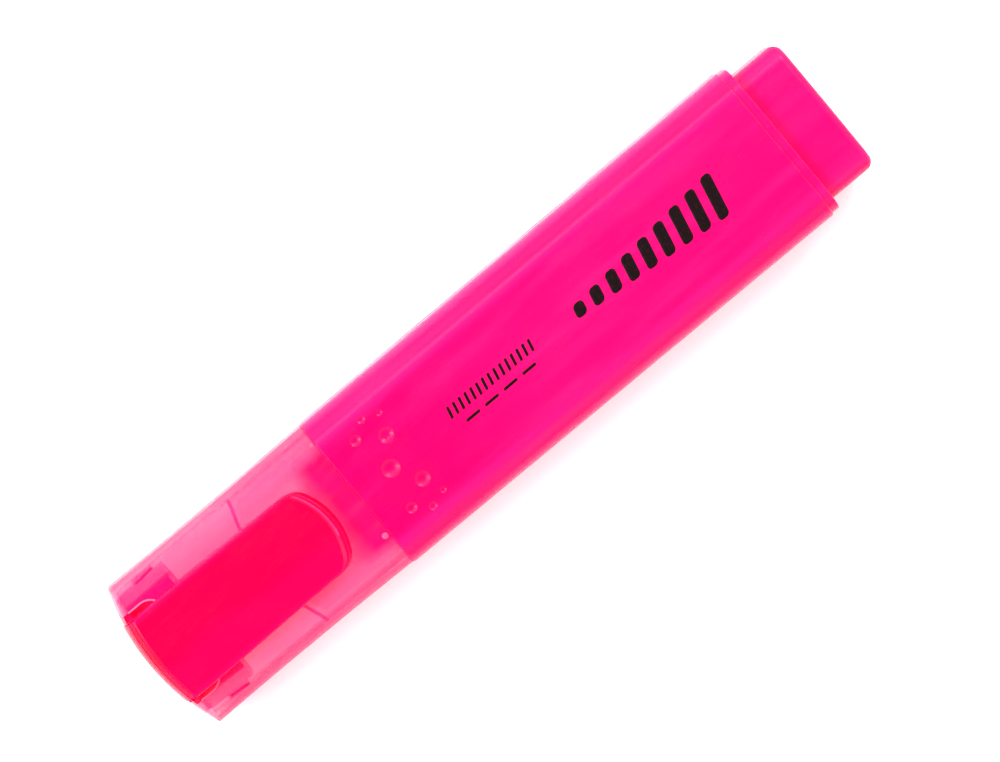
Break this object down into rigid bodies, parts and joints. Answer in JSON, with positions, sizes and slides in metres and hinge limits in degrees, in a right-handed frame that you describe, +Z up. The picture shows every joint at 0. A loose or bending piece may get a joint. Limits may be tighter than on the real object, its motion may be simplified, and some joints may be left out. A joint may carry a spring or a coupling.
{
  "type": "highlighter pen",
  "caption": "Flat-bodied highlighter with a see-through cap, a sprung pocket clip, a chisel nib and a post at the tail that holds the cap.",
  "frame": {"origin": "under the middle of the pen's length and width, on the plane that the barrel's back lies on", "axes": "+X along the pen from the closed end of the cap to the tail, +Y across it, +Z up out of the front face, where the clip is"},
  "size_m": [0.12, 0.025, 0.0172],
  "materials": {
    "barrel_plastic": "smooth fluorescent pink polypropylene, slightly see-through, soft gloss",
    "section_plastic": "see-through pale pink moulding",
    "nib_fibre": "pressed fibre soaked with pink ink",
    "ink_fibre": "fibre bundle soaked with pink ink",
    "film": "thin clear wrapping film",
    "tail_plastic": "fluorescent pink moulding, soft gloss",
    "cap_clear": "see-through milky pink moulding, glossy",
    "insert_plastic": "solid red-pink moulding, glossy",
    "clip_plastic": "solid red-pink moulding, glossy"
  },
  "bodies": {
    "pen": {"barrel": "barrel_plastic", "front_section": "section_plastic", "nib": "nib_fibre", "reservoir_core": "ink_fibre", "reservoir_film": "film", "tail_plug": "tail_plastic"},
    "cap": {"cap_shell": "cap_clear", "cap_insert": "insert_plastic"},
    "clip": {"clip": "clip_plastic"}
  },
  "joints": [
    {"name": "cap_pull", "type": "slide", "parent": "pen", "child": "cap", "axis": [-1, 0, 0], "range_m": [0, 0.045]},
    {"name": "clip_flex", "type": "hinge", "parent": "cap", "child": "clip", "pos_m": [-0.0588, 0, 0.008], "axis": [0, -1, 0], "range_deg": [0, 3.5], "stiffness_Nm_per_rad": 2}
  ]
}
